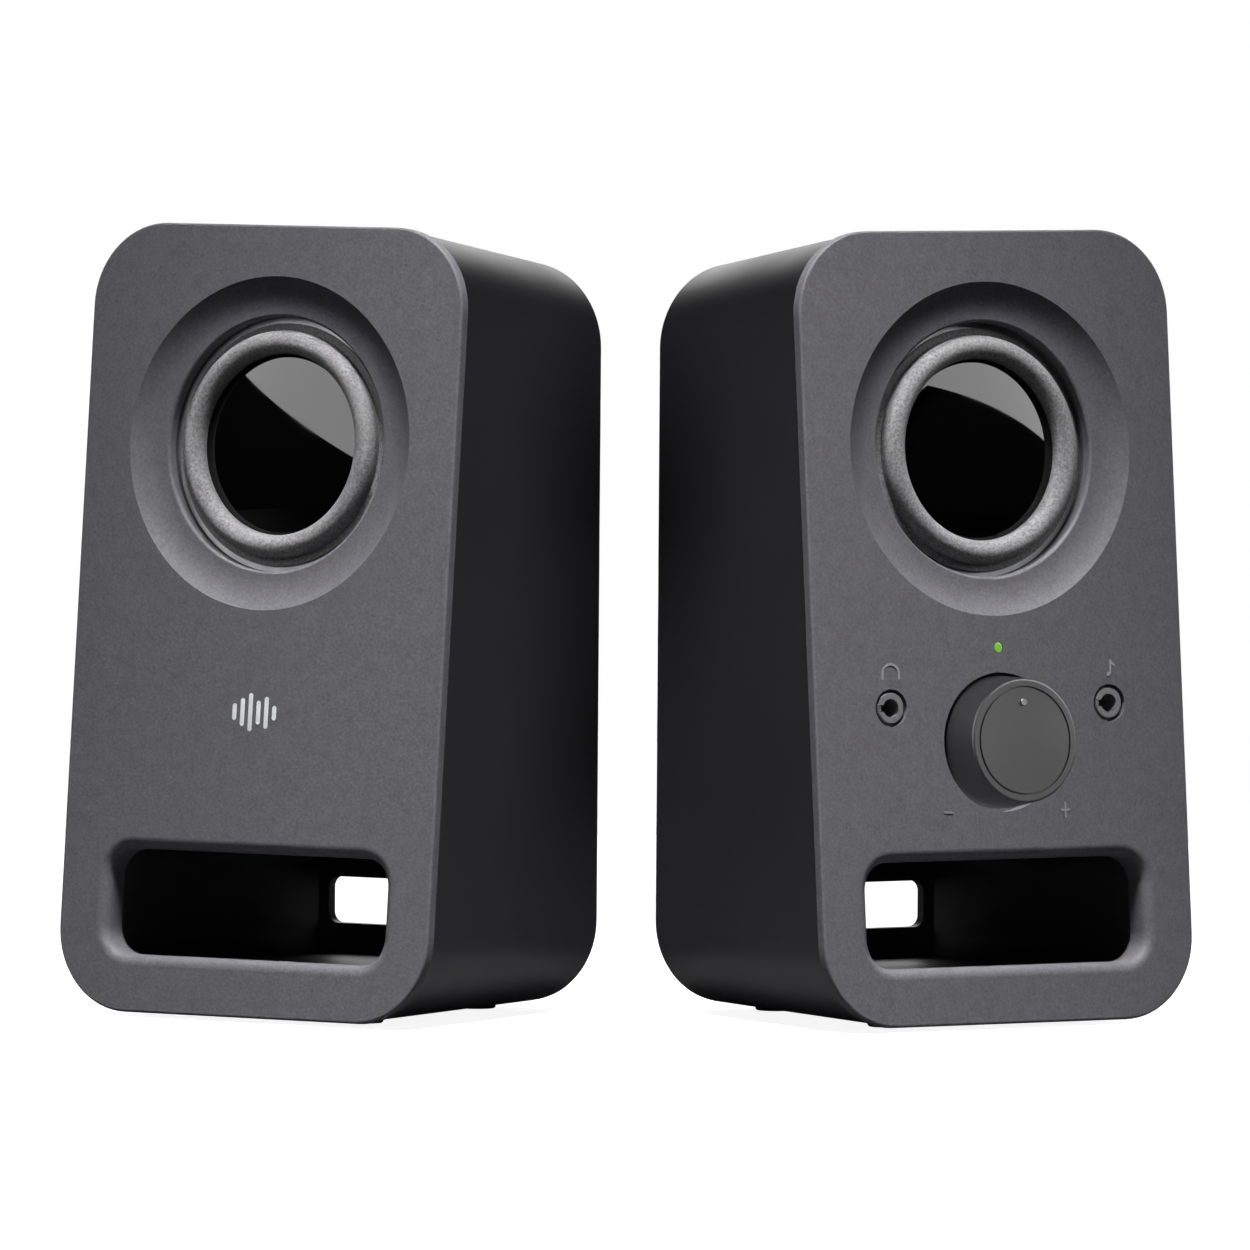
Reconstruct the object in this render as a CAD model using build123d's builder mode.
"""A pair of small powered desktop speakers, splayed outwards and seen as they stand on a desk.

Each speaker is modelled once, in its own frame: x to the right as seen from the front, y to the back,
z up, with the floor at z = 0 and the bottom edge of the baffle at y = 0. The face of the baffle leans
back, so everything on it is placed by the face plane: x across, t up the slope, and depth behind it.
The finished pieces are then stood in the pair's frame, whose origin is the middle of its footprint.
"""

import os
from math import cos, radians, sin, sqrt, tan

from build123d import *

# Whole speaker
WIDTH = 86.1
HEIGHT = 154.0
LEAN = 5.0  # degrees that the face leans back
CORNER = 16.3
DEPTH = 75.0
REAR_WIDTH = 71.3
REAR_TOP = 145.9
REAR_CORNER = 16.6
REAR_SOFTEN = 2.0
FOOT_PROUD = 0.8
FACE_HEIGHT = HEIGHT / cos(radians(LEAN))

# How the pair stands
SPLAY = 32.37  # degrees that each speaker is turned outwards
STANDOFF = 56.19  # from the middle of the pair to each speaker's pivot
PIVOT = 36.0  # the pivot, behind the bottom edge of the baffle
SETBACK = 0.38  # moves the pair so that its footprint is centred

# Shells
RIM = 2.2  # depth of the baffle's visible edge
SHELL_START = 2.9  # depth at which the cabinet begins, behind the shadow gap
SHELL_INSET = 0.5  # the cabinet is this much smaller than the baffle all round
WALL = 2.2
TONGUE_INSET = 3.2
TONGUE_WALL = 1.6
TONGUE_LENGTH = 3.1
EDGE_SOFTEN = 0.5

# Tunnel under the driver
TUNNEL_HALF = 32.3
TUNNEL_LOW = 11.4
TUNNEL_HIGH = 32.1
TUNNEL_CORNER = 5.5
TUNNEL_ROLL = 2.2
COLLAR_WALL = 1.7
COLLAR_DEPTH = 6.0
DUCT_START = 3.3
DUCT_WALL = 1.8
SLOT_HALF = 26.9
SLOT_LOW = 13.85
SLOT_HIGH = 23.1
SLOT_CORNER = 2.2

# Driver, on an axis square to the face
DRIVER_T = 112.0
BOWL_RADIUS = 32.6
LIP_RADIUS = 24.9
LIP_DEPTH = 2.3
LIP_ROLL = 0.6
BODY_RADIUS = 36.0
SEAT_DEPTH = 4.6
FLANGE_DEPTH = 5.6  # front of the basket's flange
FLANGE_THICK = 1.2
FLANGE_RADIUS = 27.8
EAR_RADIUS = 31.5
EAR_SIZE = 3.0
ROLL_OUTER = 22.3
ROLL_INNER = 17.76
ROLL_STRAIGHT = 1.0
RUBBER = 0.5
DOME_RADIUS = 17.7
DOME_EDGE_DEPTH = 5.0
DOME_RISE = 2.2
PAPER = 0.4
FORMER_RADIUS = 7.8
FORMER_THICK = 0.2
SPIDER_DEPTH = 14.8
TOP_PLATE_DEPTH = 18.5
MAGNET_DEPTH = 21.5
BACK_PLATE_DEPTH = 30.0

# Controls on the main speaker
KNOB_T = 54.8
KNOB_BASE = 12.9
KNOB_FACE = 12.1
KNOB_PROUD = 8.0
KNOB_SKIRT = 2.4
RECESS_RADIUS = 13.56
RECESS_DEPTH = 3.2
RECESS_FLOOR = 5.0
SHAFT_RADIUS = 3.0
BUSHING_RADIUS = 3.9
JACK_X = 25.45
JACK_T = 61.96
JACK_BORE = 1.8
NOSE_RADIUS = 3.1
PANEL_HOLE = 3.65
LED_T = 73.2
LED_RADIUS = 1.05
BOARD_DEPTH = 13.0
BOARD_THICK = 1.6
BOARD_HALF = 30.0
BOARD_LOW = 46.5
BOARD_HIGH = 79.0

# Rear connectors
REAR_PORT_Z = 60.0
LINE_PORT_X = -15.0
LINK_PORT_X = 0.0
POWER_PORT_X = 16.0
REAR_JACK_DEPTH = 12.6

# Fasteners and feet
SCREW_RADIUS = 1.45
SCREW_HEAD = 2.8
POST_RADIUS = 3.3
POST_END = 21.0  # y where each baffle post meets its cabinet column
COLUMN_RADIUS = 4.0
COLUMN_FLOOR = 3.0
POSTS = [(-25.0, 137.3), (25.0, 137.3), (-30.0, 41.5), (30.0, 41.5)]  # x and z
BOARD_POSTS = [(-26.5, 75.5), (26.5, 75.5), (-26.5, 50.5), (26.5, 50.5)]  # x and t
FEET = [(-20.0, 14.0), (20.0, 14.0), (-15.0, 62.0), (15.0, 62.0)]  # x and y
FOOT_RADIUS = 4.0
FOOT_SUNK = 0.8
EASE = 0.05  # clearance between pieces that are pushed together

lean = radians(LEAN)
face = Plane(origin=(0, 0, FOOT_PROUD), x_dir=(1, 0, 0), z_dir=(0, -cos(lean), sin(lean)))
rear = Plane(origin=(0, DEPTH, 0), x_dir=(-1, 0, 0), z_dir=(0, 1, 0))
outwards = Axis((0, 0, 0), face.z_dir)


def behind(depth):
    """The plane parallel to the face, at that depth behind it."""
    return face.offset(-depth)


def section(x, t):
    """A plane that cuts the axis square to the face at (x, t): radius across, distance to the front up."""
    origin = face.from_local_coords((x, t, 0))
    return Plane(origin=origin, x_dir=(1, 0, 0), z_dir=(0, -sin(lean), -cos(lean)))


def upright(y):
    """The vertical plane at y, seen from the front: x across and z up."""
    return Plane(origin=(0, y, 0), x_dir=(1, 0, 0), z_dir=(0, -1, 0))


def axis_of(plane):
    """The axis that a section plane turns about."""
    return Axis(plane.origin, plane.y_dir)


driver = section(0, DRIVER_T)
driver_axis = axis_of(driver)
knob_section = section(0, KNOB_T)


def ring(outer, inner, front, back):
    """A ring about the driver's axis, between two depths."""
    with BuildPart() as turned:
        with BuildSketch(behind(front)):
            with Locations((0, DRIVER_T)):
                Circle(outer)
                Circle(inner, mode=Mode.SUBTRACT)
        extrude(amount=front - back)
    return turned.part


# ---- shells -------------------------------------------------------------------------------


def make_baffle(controls):
    """The front panel: a rim, a tongue inside the cabinet, the bowl, the tunnel's collar and the posts."""
    with BuildPart() as baffle:
        with BuildSketch(face):
            with Locations((0, FACE_HEIGHT / 2)):
                RectangleRounded(WIDTH, FACE_HEIGHT, CORNER)
        extrude(amount=-RIM)
        fillet(baffle.faces().sort_by(outwards)[-1].edges(), EDGE_SOFTEN)

        with BuildSketch(behind(RIM)):
            with Locations((0, FACE_HEIGHT / 2)):
                tongue = CORNER - TONGUE_INSET
                inner = 2 * (TONGUE_INSET + TONGUE_WALL)
                RectangleRounded(WIDTH - 2 * TONGUE_INSET, FACE_HEIGHT - 2 * TONGUE_INSET, tongue)
                RectangleRounded(WIDTH - inner, FACE_HEIGHT - inner, tongue - TONGUE_WALL, mode=Mode.SUBTRACT)
        extrude(amount=-TONGUE_LENGTH)

        with BuildSketch(behind(RIM)):
            with Locations((0, DRIVER_T)):
                Circle(BODY_RADIUS)
        extrude(amount=RIM - SEAT_DEPTH)

        tunnel_t = (TUNNEL_LOW + TUNNEL_HIGH) / 2
        tunnel_height = TUNNEL_HIGH - TUNNEL_LOW
        with BuildSketch(behind(RIM)):
            with Locations((0, tunnel_t)):
                grow = 2 * COLLAR_WALL
                RectangleRounded(2 * TUNNEL_HALF + grow, tunnel_height + grow, TUNNEL_CORNER + COLLAR_WALL)
        extrude(amount=RIM - COLLAR_DEPTH)

        for x, z in POSTS:
            near = (z - FOOT_PROUD) * tan(lean) + RIM / 2
            with BuildSketch(upright(POST_END)):
                with Locations((x, z)):
                    Circle(POST_RADIUS)
            extrude(amount=POST_END - near)
        for x, z in POSTS:
            with BuildSketch(upright(POST_END)):
                with Locations((x, z)):
                    Circle(SCREW_RADIUS + EASE)
            extrude(amount=min(10.0, POST_END - (z - FOOT_PROUD) * tan(lean) - RIM), mode=Mode.SUBTRACT)

        # the bowl is a cove that is steep at its crease and flat at its lip
        with BuildSketch(driver):
            with BuildLine():
                run = BOWL_RADIUS - LIP_RADIUS - LIP_ROLL
                chord = sqrt(run**2 + LIP_DEPTH**2)
                radius = chord**2 / (2 * LIP_DEPTH)
                crease = (BOWL_RADIUS, 0)
                lip = (LIP_RADIUS + LIP_ROLL, -LIP_DEPTH)
                Polyline((0, 1), (BOWL_RADIUS, 1), crease)
                RadiusArc(crease, lip, radius)
                bend = LIP_ROLL * (1 - cos(radians(45)))
                roll_end = (LIP_RADIUS, -LIP_DEPTH - LIP_ROLL)
                ThreePointArc(lip, (LIP_RADIUS + bend, -LIP_DEPTH - bend), roll_end)
                Polyline(roll_end, (LIP_RADIUS, -SEAT_DEPTH - 1), (0, -SEAT_DEPTH - 1), (0, 1))
            make_face()
        revolve(axis=driver_axis, mode=Mode.SUBTRACT)

        with BuildSketch(behind(SEAT_DEPTH)):
            with Locations((0, DRIVER_T)):
                with PolarLocations(EAR_RADIUS, 4):
                    Circle(1.1)
        extrude(amount=2.6, mode=Mode.SUBTRACT)

        with BuildSketch(face):
            with Locations((0, tunnel_t)):
                RectangleRounded(2 * TUNNEL_HALF, tunnel_height, TUNNEL_CORNER)
        extrude(amount=-COLLAR_DEPTH, mode=Mode.SUBTRACT)
        front = baffle.faces().sort_by(outwards)[-1]
        mouth = front.inner_wires().sort_by(Axis.Z)[0]
        fillet(mouth.edges(), TUNNEL_ROLL)

        if controls:
            with BuildSketch(behind(RIM)):
                with Locations((0, KNOB_T)):
                    Circle(RECESS_RADIUS + 1.6)
                with Locations((0, LED_T)):
                    Circle(LED_RADIUS + 1.2)
            extrude(amount=RIM - RECESS_FLOOR)
            with BuildSketch(behind(RIM)):
                with Locations(*BOARD_POSTS):
                    Circle(2.6)
            extrude(amount=RIM - BOARD_DEPTH)
            with BuildSketch(behind(BOARD_DEPTH)):
                with Locations(*BOARD_POSTS):
                    Circle(1.1 + EASE)
            extrude(amount=7.0, mode=Mode.SUBTRACT)
            with BuildSketch(face):
                with Locations((0, KNOB_T)):
                    Circle(RECESS_RADIUS)
            extrude(amount=-RECESS_DEPTH, mode=Mode.SUBTRACT)
            with BuildSketch(face):
                with Locations((0, KNOB_T)):
                    Circle(BUSHING_RADIUS + 0.3)
                with Locations((-JACK_X, JACK_T), (JACK_X, JACK_T)):
                    Circle(PANEL_HOLE)
                with Locations((0, LED_T)):
                    Circle(LED_RADIUS + EASE)
            extrude(amount=-RECESS_FLOOR, mode=Mode.SUBTRACT)
    return baffle.part


def shell_front(inset):
    """The cabinet's outline at its front, or one inside it."""
    with BuildSketch(behind(SHELL_START)) as outline:
        with Locations((0, FACE_HEIGHT / 2)):
            inset = SHELL_INSET + inset
            RectangleRounded(WIDTH - 2 * inset, FACE_HEIGHT - 2 * inset, CORNER - inset)
    return outline.sketch


def shell_rear(inset, y=DEPTH):
    """The cabinet's outline at its back, or one inside it. Its base is level with the front's."""
    base = FOOT_PROUD + SHELL_INSET / 2 + inset
    top = FOOT_PROUD + REAR_TOP - inset
    with BuildSketch(upright(y)) as outline:
        with Locations((0, (base + top) / 2)):
            RectangleRounded(REAR_WIDTH - 2 * inset, top - base, REAR_CORNER - inset)
    return outline.sketch


def duct_front(grow):
    """The duct's mouth, around the baffle's collar."""
    grow = COLLAR_WALL + 0.4 + grow
    height = TUNNEL_HIGH - TUNNEL_LOW + 2 * grow
    with BuildSketch(behind(DUCT_START)) as outline:
        with Locations((0, (TUNNEL_LOW + TUNNEL_HIGH) / 2)):
            RectangleRounded(2 * (TUNNEL_HALF + grow), height, TUNNEL_CORNER + grow)
    return outline.sketch


def duct_rear(grow, y):
    """The duct's far end, at the cabinet's back wall."""
    low = 8.0 + FOOT_PROUD - grow
    high = 30.0 + FOOT_PROUD + grow
    with BuildSketch(upright(y)) as outline:
        with Locations((0, (low + high) / 2)):
            RectangleRounded(2 * (29.0 + grow), high - low, 4.0 + grow)
    return outline.sketch


def make_cabinet(controls):
    """The rear shell, tapered to the back, with the duct, the screw columns and the feet's pockets."""
    back_wall = DEPTH - WALL
    with BuildPart() as cabinet:
        loft([shell_front(0), shell_rear(0)], ruled=True)
        fillet(cabinet.faces().sort_by(Axis.Y)[-1].edges(), REAR_SOFTEN)
        loft([shell_front(WALL), shell_rear(WALL, back_wall)], ruled=True, mode=Mode.SUBTRACT)
        loft([duct_front(DUCT_WALL), duct_rear(DUCT_WALL, back_wall + 1)], ruled=True)

        with BuildSketch(upright(DEPTH - 1)):
            with Locations(*POSTS):
                Circle(COLUMN_RADIUS)
        extrude(amount=DEPTH - 1 - POST_END)
        with BuildSketch(upright(DEPTH)):
            with Locations(*POSTS):
                Circle(SCREW_HEAD + 0.3)
        extrude(amount=DEPTH - POST_END - COLUMN_FLOOR, mode=Mode.SUBTRACT)
        with BuildSketch(upright(DEPTH)):
            with Locations(*POSTS):
                Circle(SCREW_RADIUS + 0.15)
        extrude(amount=DEPTH - POST_END, mode=Mode.SUBTRACT)

        loft([duct_front(0), duct_rear(0, back_wall)], ruled=True, mode=Mode.SUBTRACT)
        with BuildSketch(upright(DEPTH)):
            with Locations((0, (SLOT_LOW + SLOT_HIGH) / 2 + FOOT_PROUD)):
                RectangleRounded(2 * SLOT_HALF, SLOT_HIGH - SLOT_LOW, SLOT_CORNER)
        extrude(amount=2 * WALL, mode=Mode.SUBTRACT)

        base = FOOT_PROUD + SHELL_INSET / 2
        with BuildSketch(Plane.XY):
            with Locations(*FEET):
                Circle(FOOT_RADIUS + EASE)
        extrude(amount=base + FOOT_SUNK, mode=Mode.SUBTRACT)

        holes = [(LINK_PORT_X, PANEL_HOLE)]
        if controls:
            holes = holes + [(LINE_PORT_X, PANEL_HOLE), (POWER_PORT_X, 4.3)]
        with BuildSketch(upright(DEPTH)):
            for x, radius in holes:
                with Locations((x, REAR_PORT_Z)):
                    Circle(radius)
        extrude(amount=2 * WALL, mode=Mode.SUBTRACT)
    return cabinet.part


def make_feet():
    """Four stick-on rubber feet, sunk in shallow pockets in the cabinet's base."""
    with BuildPart() as feet:
        with BuildSketch(Plane.XY):
            with Locations(*FEET):
                Circle(FOOT_RADIUS)
        extrude(amount=FOOT_PROUD + SHELL_INSET / 2 + FOOT_SUNK)
        chamfer(feet.faces().group_by(Axis.Z)[0].edges(), 0.3)
    return feet.part


# ---- driver -------------------------------------------------------------------------------


def make_driver_gasket():
    """The foam ring between the basket's flange and the baffle."""
    with BuildPart() as gasket:
        with BuildSketch(behind(SEAT_DEPTH)):
            with Locations((0, DRIVER_T)):
                Circle(FLANGE_RADIUS)
                with PolarLocations(EAR_RADIUS, 4):
                    Circle(EAR_SIZE)
                with PolarLocations(EAR_RADIUS - 3.5, 4):
                    Rectangle(6, 2 * EAR_SIZE)
                Circle(LIP_RADIUS, mode=Mode.SUBTRACT)
                with PolarLocations(EAR_RADIUS, 4):
                    Circle(1.5, mode=Mode.SUBTRACT)
        extrude(amount=SEAT_DEPTH - FLANGE_DEPTH)
    return gasket.part


def make_basket():
    """The pressed frame: flange with four ears, windowed cone, spider ledge and magnet seat."""
    back = FLANGE_DEPTH + FLANGE_THICK
    with BuildPart() as basket:
        with BuildSketch(driver):
            with BuildLine():
                Polyline(
                    (22.0, -FLANGE_DEPTH),
                    (FLANGE_RADIUS, -FLANGE_DEPTH),
                    (FLANGE_RADIUS, -back),
                    (23.2, -back),
                    (19.6, -SPIDER_DEPTH),
                    (19.6, -16.4),
                    (17.8, -16.4),
                    (17.8, -TOP_PLATE_DEPTH),
                    (9.2, -TOP_PLATE_DEPTH),
                    (9.2, -17.5),
                    (17.0, -17.5),
                    (17.0, -SPIDER_DEPTH - PAPER),
                    (18.4, -SPIDER_DEPTH - PAPER),
                    (18.4, -SPIDER_DEPTH),
                    (22.0, -back),
                    close=True,
                )
            make_face()
        revolve(axis=driver_axis)
        with BuildSketch(behind(FLANGE_DEPTH)):
            with Locations((0, DRIVER_T)):
                with PolarLocations(EAR_RADIUS, 4):
                    Circle(EAR_SIZE)
                with PolarLocations(EAR_RADIUS - 3.5, 4):
                    Rectangle(6, 2 * EAR_SIZE)
        extrude(amount=-FLANGE_THICK)
        with BuildSketch(behind(FLANGE_DEPTH)):
            with Locations((0, DRIVER_T)):
                with PolarLocations(EAR_RADIUS, 4):
                    Circle(1.3)
                Circle(22.0)
        extrude(amount=-FLANGE_THICK, mode=Mode.SUBTRACT)
        with BuildSketch(behind(8.0)):
            with Locations((0, DRIVER_T)):
                with PolarLocations(20.5, 4, start_angle=45):
                    Rectangle(8, 15)
        extrude(amount=-5.6, mode=Mode.SUBTRACT)
    return basket.part


def make_surround():
    """The rubber half-roll between the basket and the diaphragm, standing proud of the bowl's lip."""
    edge = -DOME_EDGE_DEPTH
    shoulder = edge + ROLL_STRAIGHT
    middle = (ROLL_OUTER + ROLL_INNER) / 2
    radius = (ROLL_OUTER - ROLL_INNER) / 2
    with BuildPart() as surround:
        with BuildSketch(driver):
            with BuildLine():
                Polyline((23.75, edge - 0.6), (23.75, edge), (ROLL_OUTER, edge), (ROLL_OUTER, shoulder))
                ThreePointArc((ROLL_OUTER, shoulder), (middle, shoulder + radius), (ROLL_INNER, shoulder))
                inner = ROLL_INNER + RUBBER
                Polyline((ROLL_INNER, shoulder), (ROLL_INNER, edge), (16.4, edge), (16.4, edge - PAPER))
                Polyline((16.4, edge - PAPER), (inner, edge - PAPER), (inner, shoulder))
                outer = ROLL_OUTER - RUBBER
                ThreePointArc((inner, shoulder), (middle, shoulder + radius - RUBBER), (outer, shoulder))
                Polyline((outer, shoulder), (outer, edge), (22.05, edge - 0.25), (22.05, edge - 0.6))
                Line((22.05, edge - 0.6), (23.75, edge - 0.6))
            make_face()
        revolve(axis=driver_axis)
    return surround.part


def make_dust_cap():
    """The glossy cap, a shallow crown over the whole cone."""
    edge = -DOME_EDGE_DEPTH
    with BuildPart() as cap:
        with BuildSketch(driver):
            with BuildLine():
                top = edge + PAPER
                Polyline((0, top + DOME_RISE - PAPER), (0, top + DOME_RISE))
                crown = (DOME_RADIUS**2 + DOME_RISE**2) / (2 * DOME_RISE)
                half = DOME_RADIUS / 2
                drop = crown - sqrt(crown**2 - half**2)
                ThreePointArc((0, top + DOME_RISE), (half, top + DOME_RISE - drop), (DOME_RADIUS, top))
                Polyline((DOME_RADIUS, top), (DOME_RADIUS, edge), (DOME_RADIUS - PAPER, edge))
                inside = DOME_RADIUS - PAPER
                half_in = inside / 2
                crown_in = (inside**2 + DOME_RISE**2) / (2 * DOME_RISE)
                drop_in = crown_in - sqrt(crown_in**2 - half_in**2)
                ThreePointArc((inside, edge), (half_in, edge + DOME_RISE - drop_in), (0, edge + DOME_RISE))
            make_face()
        revolve(axis=driver_axis)
    return cap.part


def make_cone():
    """The paper cone behind the cap, glued to the surround at its rim and to the former at its neck."""
    rim = -DOME_EDGE_DEPTH - PAPER
    neck = FORMER_RADIUS + EASE
    with BuildPart() as cone:
        with BuildSketch(driver):
            with BuildLine():
                Polyline(
                    (17.6, rim),
                    (17.6, rim - PAPER),
                    (16.8, rim - PAPER),
                    (neck, -12.9),
                    (neck, -12.4),
                    (16.5, rim),
                    close=True,
                )
            make_face()
        revolve(axis=driver_axis)
    return cone.part


def make_spider():
    """The corrugated cloth disc that centres the voice coil, from the former to the basket's ledge."""
    inner = FORMER_RADIUS + EASE
    outer = 18.3
    waves = 4
    flat = 1.4
    pitch = (outer - inner - 2 * flat) / (2 * waves)
    swing = 0.55
    front = -SPIDER_DEPTH

    def edge_line(level):
        for i in range(2 * waves):
            start = inner + flat + i * pitch
            side = swing if i % 2 == 0 else -swing
            ThreePointArc((start, level), (start + pitch / 2, level + side), (start + pitch, level))

    with BuildPart() as spider:
        with BuildSketch(driver):
            with BuildLine():
                back = front - PAPER
                Polyline((inner + flat, front), (inner, front), (inner, back), (inner + flat, back))
                edge_line(front)
                edge_line(back)
                Polyline((outer - flat, front), (outer, front), (outer, back), (outer - flat, back))
            make_face()
        revolve(axis=driver_axis)
    return spider.part


def make_former():
    """The tube that carries the voice coil into the magnet's gap."""
    return ring(FORMER_RADIUS, FORMER_RADIUS - FORMER_THICK, 12.4, 22.5)


def make_voice_coil():
    """The copper winding on the former."""
    return ring(FORMER_RADIUS + 0.45, FORMER_RADIUS, 17.8, 22.2)


def make_pole_piece():
    """The steel back plate with its centre pole."""
    with BuildPart() as pole:
        with BuildSketch(behind(BACK_PLATE_DEPTH)):
            with Locations((0, DRIVER_T)):
                Circle(17.5)
        extrude(amount=-3.0)
        with BuildSketch(behind(TOP_PLATE_DEPTH)):
            with Locations((0, DRIVER_T)):
                Circle(7.3)
        extrude(amount=TOP_PLATE_DEPTH - BACK_PLATE_DEPTH)
    return pole.part


def make_terminal_strip():
    """The small board under the basket that the leads are soldered to."""
    with BuildPart() as strip:
        with BuildSketch(behind(FLANGE_DEPTH + FLANGE_THICK)):
            with Locations((0, DRIVER_T - 24.6)):
                Rectangle(14, 1.2)
        extrude(amount=-8.0)
    return strip.part


def make_terminal_tags():
    """Two solder tags on the strip."""
    with BuildPart() as tags:
        with BuildSketch(behind(11.0)):
            with Locations((-4, DRIVER_T - 25.4), (4, DRIVER_T - 25.4)):
                Rectangle(2.2, 0.4)
        extrude(amount=-6.0)
    return tags.part


def make_driver_screws():
    """Four screws through the basket's ears into the baffle."""
    back = FLANGE_DEPTH + FLANGE_THICK
    with BuildPart() as screws:
        with BuildSketch(behind(back)):
            with Locations((0, DRIVER_T)):
                with PolarLocations(EAR_RADIUS, 4):
                    Circle(2.3)
        extrude(amount=-1.5)
        with BuildSketch(behind(back)):
            with Locations((0, DRIVER_T)):
                with PolarLocations(EAR_RADIUS, 4):
                    Circle(1.05)
        extrude(amount=back - SEAT_DEPTH + 2.4)
    return screws.part


def make_cabinet_screws():
    """Four screws, deep in the cabinet's columns, into the baffle's posts."""
    head = POST_END + COLUMN_FLOOR
    with BuildPart() as screws:
        with BuildSketch(upright(head + 2.0)):
            with Locations(*POSTS):
                Circle(SCREW_HEAD)
        extrude(amount=2.0)
        with BuildSketch(upright(head + 2.0)):
            with Locations(*POSTS):
                Rectangle(2.6, 0.7)
                Rectangle(0.7, 2.6)
        extrude(amount=1.0, mode=Mode.SUBTRACT)
        with BuildSketch(upright(head)):
            with Locations(*POSTS):
                Circle(SCREW_RADIUS)
        extrude(amount=COLUMN_FLOOR + 5.5)
    return screws.part


def make_leads(ends, spacing):
    """A pair of insulated wires along one route, side by side."""
    with BuildPart() as leads:
        for side in (-1, 1):
            points = [Vector(x + side * spacing / 2, y, z) for x, y, z in ends]
            with BuildLine() as route:
                Spline(*points)
            with BuildSketch(Plane(origin=route.line @ 0, z_dir=route.line % 0)):
                Circle(0.6)
            sweep(path=route.line)
    return leads.part


# ---- controls -----------------------------------------------------------------------------


def make_knob():
    """The volume knob: a drafted cap with a fine groove on its face, a pointer dot and a hub."""
    groove = 10.45
    with BuildPart() as knob:
        with BuildSketch(knob_section):
            with BuildLine():
                Polyline(
                    (SHAFT_RADIUS + EASE, KNOB_PROUD - 2.2),
                    (SHAFT_RADIUS + EASE, -2.0),
                    (5.0, -2.0),
                    (5.0, KNOB_PROUD - 1.8),
                    (KNOB_FACE - 2.0, KNOB_PROUD - 1.8),
                    (KNOB_BASE - 1.9, -KNOB_SKIRT),
                    (KNOB_BASE, -KNOB_SKIRT),
                    (KNOB_BASE, 0),
                    (KNOB_FACE, KNOB_PROUD),
                    (groove + 0.2, KNOB_PROUD),
                    (groove + 0.2, KNOB_PROUD - 0.3),
                    (groove - 0.2, KNOB_PROUD - 0.3),
                    (groove - 0.2, KNOB_PROUD),
                    (0, KNOB_PROUD),
                    (0, KNOB_PROUD - 2.2),
                    close=True,
                )
            make_face()
        revolve(axis=axis_of(knob_section))
        rims = knob.edges().filter_by(GeomType.CIRCLE)
        rim = rims.filter_by(lambda e: abs(e.radius - KNOB_FACE) < 0.01)
        fillet(rim, 0.5)
        with BuildSketch(face.offset(KNOB_PROUD)):
            with Locations((0, KNOB_T + 7.5)):
                Circle(0.55)
        extrude(amount=0.2)
    return knob.part


def make_pot_shaft():
    """The potentiometer's shaft, which turns with the knob."""
    with BuildPart() as shaft:
        with BuildSketch(face.offset(KNOB_PROUD - 2.4)):
            with Locations((0, KNOB_T)):
                Circle(SHAFT_RADIUS)
        extrude(amount=-(KNOB_PROUD - 2.4) - 9.0)
    return shaft.part


def make_pot_body():
    """The potentiometer on the board, with the bushing that the shaft turns in."""
    front = 6.5
    with BuildPart() as pot:
        with BuildSketch(behind(front)):
            with Locations((0, KNOB_T)):
                Rectangle(10.0, 11.0)
        extrude(amount=front - BOARD_DEPTH)
        with BuildSketch(behind(RECESS_DEPTH + 0.4)):
            with Locations((0, KNOB_T)):
                Circle(BUSHING_RADIUS)
        extrude(amount=RECESS_DEPTH + 0.4 - front)
        with BuildSketch(behind(RECESS_DEPTH)):
            with Locations((0, KNOB_T)):
                Circle(SHAFT_RADIUS + EASE)
        extrude(amount=RECESS_DEPTH - 9.3, mode=Mode.SUBTRACT)
    return pot.part


def jack_port(port, x, y):
    """The plane of one jack's opening, at (x, y) on its panel, facing outwards."""
    return Plane(origin=port.from_local_coords((x, y, 0)), x_dir=port.x_dir, z_dir=port.z_dir)


def make_jack(port, panel, length):
    """A 3.5 mm socket: a nose in the panel's hole, a body behind it and a slot for its contact."""
    with BuildPart() as jack:
        with BuildSketch(port.offset(-0.2)):
            Circle(NOSE_RADIUS)
        extrude(amount=-(panel + 0.4 - 0.2))
        chamfer(jack.faces().sort_by(Axis((0, 0, 0), port.z_dir))[-1].edges(), 0.25)
        with BuildSketch(port.offset(-panel - 0.4)):
            Rectangle(7.2, 10.0)
        extrude(amount=-(length - panel - 0.4))
        with BuildSketch(port):
            Circle(JACK_BORE)
        extrude(amount=-length, mode=Mode.SUBTRACT)
        with BuildSketch(port):
            with Locations((-2.2, 0)):
                Rectangle(1.2, 1.3)
        extrude(amount=-length, mode=Mode.SUBTRACT)
    return jack.part


def make_contacts(ports):
    """The sprung contact along one side of each socket's bore."""
    with BuildPart() as contacts:
        for port in ports:
            with BuildSketch(port.offset(-0.8)):
                with Locations((-2.1, 0)):
                    Rectangle(0.4, 1.1)
            extrude(amount=-(REAR_JACK_DEPTH - 1.6))
    return contacts.part


def make_led_lens():
    """The light pipe of the power lamp."""
    with BuildPart() as lens:
        with BuildSketch(behind(BOARD_DEPTH - 1.3)):
            with Locations((0, LED_T)):
                Circle(LED_RADIUS)
        extrude(amount=BOARD_DEPTH - 1.3)
        fillet(lens.faces().sort_by(outwards)[-1].edges(), 0.3)
    return lens.part


def make_led():
    """The lamp's chip on the board."""
    with BuildPart() as led:
        with BuildSketch(behind(BOARD_DEPTH)):
            with Locations((0, LED_T)):
                Rectangle(2.4, 1.6)
        extrude(amount=1.2)
    return led.part


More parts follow.
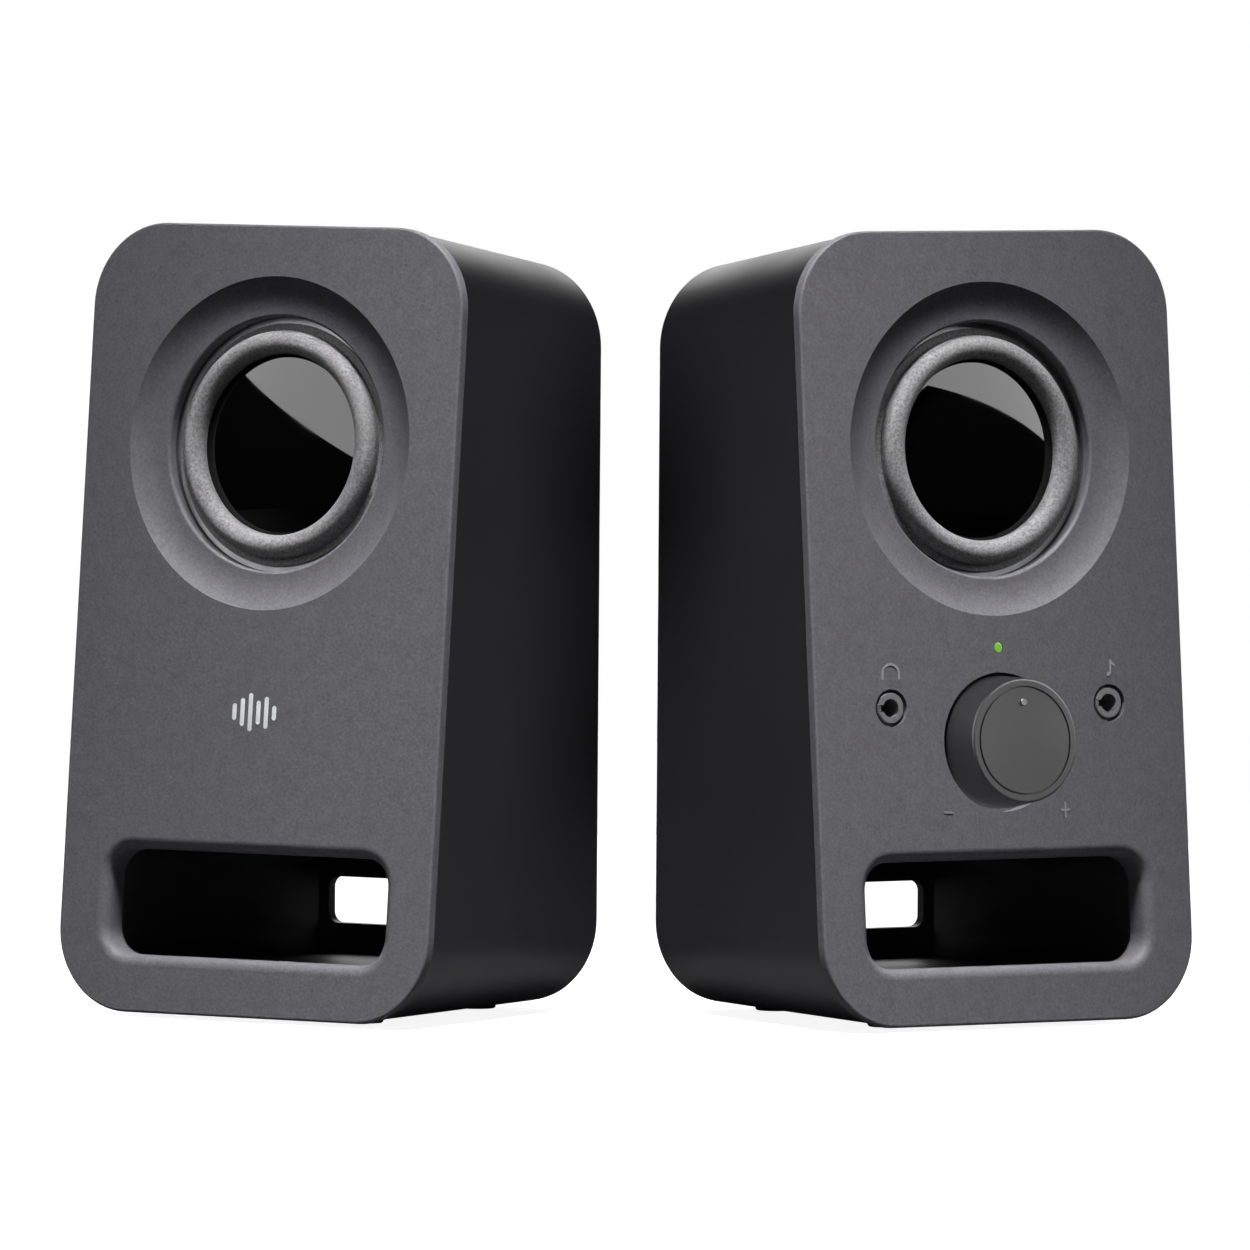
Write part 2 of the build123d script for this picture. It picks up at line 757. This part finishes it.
def make_amplifier_board():
    """The circuit board behind the controls, on the baffle's posts."""
    with BuildPart() as board:
        with BuildSketch(behind(BOARD_DEPTH)):
            with Locations((0, (BOARD_LOW + BOARD_HIGH) / 2)):
                RectangleRounded(2 * BOARD_HALF, BOARD_HIGH - BOARD_LOW, 1.0)
            with Locations(*BOARD_POSTS):
                Circle(1.3, mode=Mode.SUBTRACT)
            with Locations((-JACK_X, JACK_T), (JACK_X, JACK_T)):
                Circle(2.3, mode=Mode.SUBTRACT)
        extrude(amount=-BOARD_THICK)
    return board.part


def make_amplifier_chip():
    """The amplifier's chip on the back of the board."""
    with BuildPart() as chip:
        with BuildSketch(behind(BOARD_DEPTH + BOARD_THICK)):
            with Locations((10, 67)):
                Rectangle(10.3, 7.5)
        extrude(amount=-2.3)
        fillet(chip.edges().filter_by(outwards), 0.3)
    return chip.part


def make_capacitors():
    """Three electrolytic capacitors on the back of the board."""
    cans = [((-12, 66), 4.0, 11.5), ((-4, 73), 2.5, 7.0), ((3, 57), 2.5, 7.0)]
    with BuildPart() as capacitors:
        for place, radius, height in cans:
            with BuildSketch(behind(BOARD_DEPTH + BOARD_THICK)):
                with Locations(place):
                    Circle(radius)
            extrude(amount=-height)
            end = capacitors.faces(Select.LAST).sort_by(outwards)[0]
            fillet(end.edges(), 0.4)
    return capacitors.part


def make_board_screws():
    """Four screws through the amplifier board into the baffle's posts."""
    back = BOARD_DEPTH + BOARD_THICK
    with BuildPart() as screws:
        with BuildSketch(behind(back)):
            with Locations(*BOARD_POSTS):
                Circle(2.2)
        extrude(amount=-1.6)
        with BuildSketch(behind(back)):
            with Locations(*BOARD_POSTS):
                Circle(1.1)
        extrude(amount=BOARD_THICK + 6.0)
    return screws.part


def make_rear_board(width, x):
    """The small board that holds the rear sockets, standing behind the back wall."""
    front = DEPTH - REAR_JACK_DEPTH
    with BuildPart() as board:
        with BuildSketch(upright(front)):
            with Locations((x, REAR_PORT_Z)):
                RectangleRounded(width, 15.0, 1.0)
            with Locations((LINK_PORT_X, REAR_PORT_Z), (LINE_PORT_X, REAR_PORT_Z)):
                Circle(2.3, mode=Mode.SUBTRACT)
        extrude(amount=BOARD_THICK)
    return board.part


def make_power_inlet(port):
    """The barrel inlet's housing."""
    with BuildPart() as inlet:
        with BuildSketch(port.offset(-0.2)):
            Circle(4.0)
        extrude(amount=-(WALL + 0.2))
        with BuildSketch(port.offset(-WALL - 0.4)):
            Rectangle(9.0, 11.0)
        extrude(amount=-(REAR_JACK_DEPTH - WALL - 0.4))
        with BuildSketch(port):
            Circle(2.85)
        extrude(amount=-10.0, mode=Mode.SUBTRACT)
    return inlet.part


def make_power_pin(port):
    """The barrel inlet's centre pin."""
    with BuildPart() as pin:
        with BuildSketch(port.offset(-10.0)):
            Circle(1.05)
        extrude(amount=8.6)
        fillet(pin.faces().sort_by(Axis((0, 0, 0), port.z_dir))[-1].edges(), 0.5)
    return pin.part


# ---- the pair -----------------------------------------------------------------------------


def standing(side):
    """Where a speaker stands: side is -1 for the satellite on the left, 1 for the main one on the right."""
    here = Plane(origin=(side * STANDOFF, SETBACK, 0), x_dir=Vector(1, 0, 0).rotate(Axis.Z, side * SPLAY))
    return here.location * Location((0, -PIVOT, 0))


STANDS = {"main": standing(1), "satellite": standing(-1)}


def save(piece, label, speakers=("main", "satellite")):
    """Stand a finished piece in each speaker named, and write it."""
    for speaker in speakers:
        placed = piece.moved(STANDS[speaker])
        placed.label = f"{speaker}_{label}"
        export_step(placed, f"parts/{placed.label}.step")


def main():
    os.makedirs("parts", exist_ok=True)

    save(make_baffle(True), "baffle", ["main"])
    save(make_baffle(False), "baffle", ["satellite"])
    save(make_cabinet(True), "cabinet", ["main"])
    save(make_cabinet(False), "cabinet", ["satellite"])
    save(make_feet(), "feet")
    save(make_cabinet_screws(), "cabinet_screws")

    save(make_driver_gasket(), "driver_gasket")
    save(make_basket(), "basket")
    save(make_surround(), "surround")
    save(make_dust_cap(), "dust_cap")
    save(make_cone(), "cone")
    save(make_former(), "coil_former")
    save(make_voice_coil(), "voice_coil")
    save(make_spider(), "spider")
    save(ring(17.5, 8.55, TOP_PLATE_DEPTH, MAGNET_DEPTH), "top_plate")
    save(ring(20.0, 10.5, MAGNET_DEPTH, BACK_PLATE_DEPTH), "magnet")
    save(make_pole_piece(), "pole_piece")
    save(make_terminal_strip(), "terminal_strip")
    save(make_terminal_tags(), "terminal_tags")
    save(make_driver_screws(), "driver_screws")

    save(make_knob(), "volume_knob", ["main"])
    save(make_pot_shaft(), "pot_shaft", ["main"])
    save(make_pot_body(), "pot_body", ["main"])
    save(make_led_lens(), "led_lens", ["main"])
    save(make_led(), "led", ["main"])
    save(make_amplifier_board(), "amplifier_board", ["main"])
    save(make_amplifier_chip(), "amplifier_chip", ["main"])
    save(make_capacitors(), "capacitors", ["main"])
    save(make_board_screws(), "board_screws", ["main"])

    link_port = jack_port(rear, -LINK_PORT_X, REAR_PORT_Z)
    line_port = jack_port(rear, -LINE_PORT_X, REAR_PORT_Z)
    power_port = jack_port(rear, -POWER_PORT_X, REAR_PORT_Z)
    headphone_port = jack_port(face, -JACK_X, JACK_T)
    aux_port = jack_port(face, JACK_X, JACK_T)
    save(make_jack(headphone_port, RIM, BOARD_DEPTH), "headphone_jack", ["main"])
    save(make_jack(aux_port, RIM, BOARD_DEPTH), "aux_jack", ["main"])
    save(make_jack(line_port, WALL, REAR_JACK_DEPTH), "line_jack", ["main"])
    save(make_jack(link_port, WALL, REAR_JACK_DEPTH), "link_jack")
    save(make_contacts([headphone_port, aux_port, line_port, link_port]), "jack_contacts", ["main"])
    save(make_contacts([link_port]), "jack_contacts", ["satellite"])
    save(make_power_inlet(power_port), "power_inlet", ["main"])
    save(make_power_pin(power_port), "power_pin", ["main"])
    save(make_rear_board(46.0, 1.0), "rear_board", ["main"])
    save(make_rear_board(14.0, 0.0), "rear_board", ["satellite"])

    tags = face.from_local_coords((0, DRIVER_T - 25.4, -17.2))
    board = face.from_local_coords((0, 77.0, -BOARD_DEPTH - BOARD_THICK - 0.7))
    back = (0, DEPTH - REAR_JACK_DEPTH - BOARD_THICK - 0.7, REAR_PORT_Z + 5.0)
    low = (0, 40.0, 72.0)
    middle = (0, tags.Y + 3.0, tags.Z - 4.0)
    save(make_leads([tuple(tags), middle, tuple(board)], 8.0), "driver_leads", ["main"])
    save(make_leads([tuple(tags), low, back], 8.0), "driver_leads", ["satellite"])
    supply = [(20.0, board.Y + 1.0, 52.0), (20.0, 38.0, 62.0), (20.0, back[1], back[2] - 3.0)]
    save(make_leads(supply, 2.0), "supply_leads", ["main"])


main()
